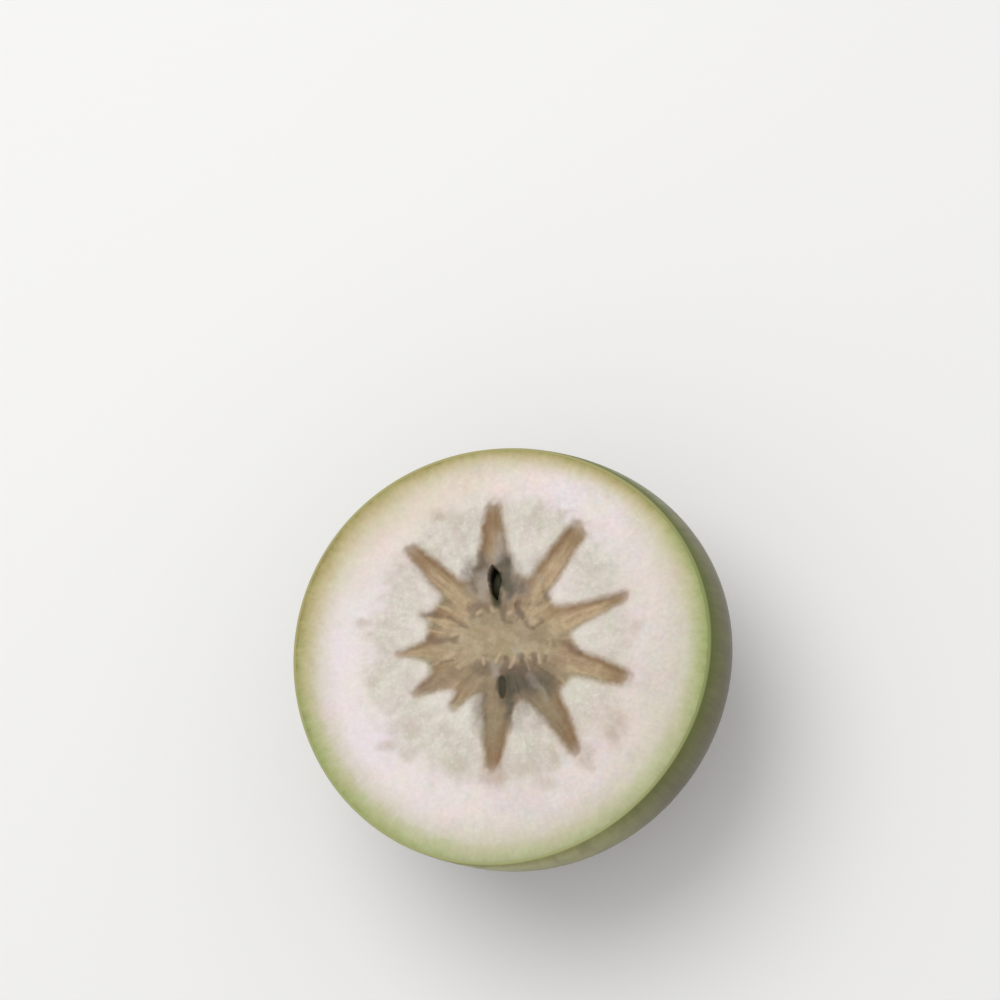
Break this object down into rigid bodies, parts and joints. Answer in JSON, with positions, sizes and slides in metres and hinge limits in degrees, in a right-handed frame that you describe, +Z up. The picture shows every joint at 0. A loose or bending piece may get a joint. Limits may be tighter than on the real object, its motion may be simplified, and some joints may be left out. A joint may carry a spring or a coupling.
{
  "type": "star apple half",
  "caption": "Cut half of a round green tropical fruit lying on its skin, with brown seed cells that form a star on the pale cut face and dark seeds in some of them.",
  "frame": {"origin": "on the surface that the fruit rests on, below the middle of the fruit's box", "axes": "+Z up, out of the cut face; +X towards the side where the belly bulges past the cut face; +Y towards the seed cell that holds the upper seed"},
  "size_m": [0.0812, 0.0796, 0.0424],
  "materials": {
    "skin": "thin waxy skin, yellow-green with darker green and a little brown-purple blush, satin gloss",
    "flesh": "wet pinkish-white flesh round greyish pulp, with tan star-shaped seed cells, soft sheen",
    "seed": "polished near-black brown"
  },
  "bodies": {
    "root": {"fruit_half": "skin", "seed_upper": "seed", "seed_lower": "seed"}
  },
  "joints": []
}
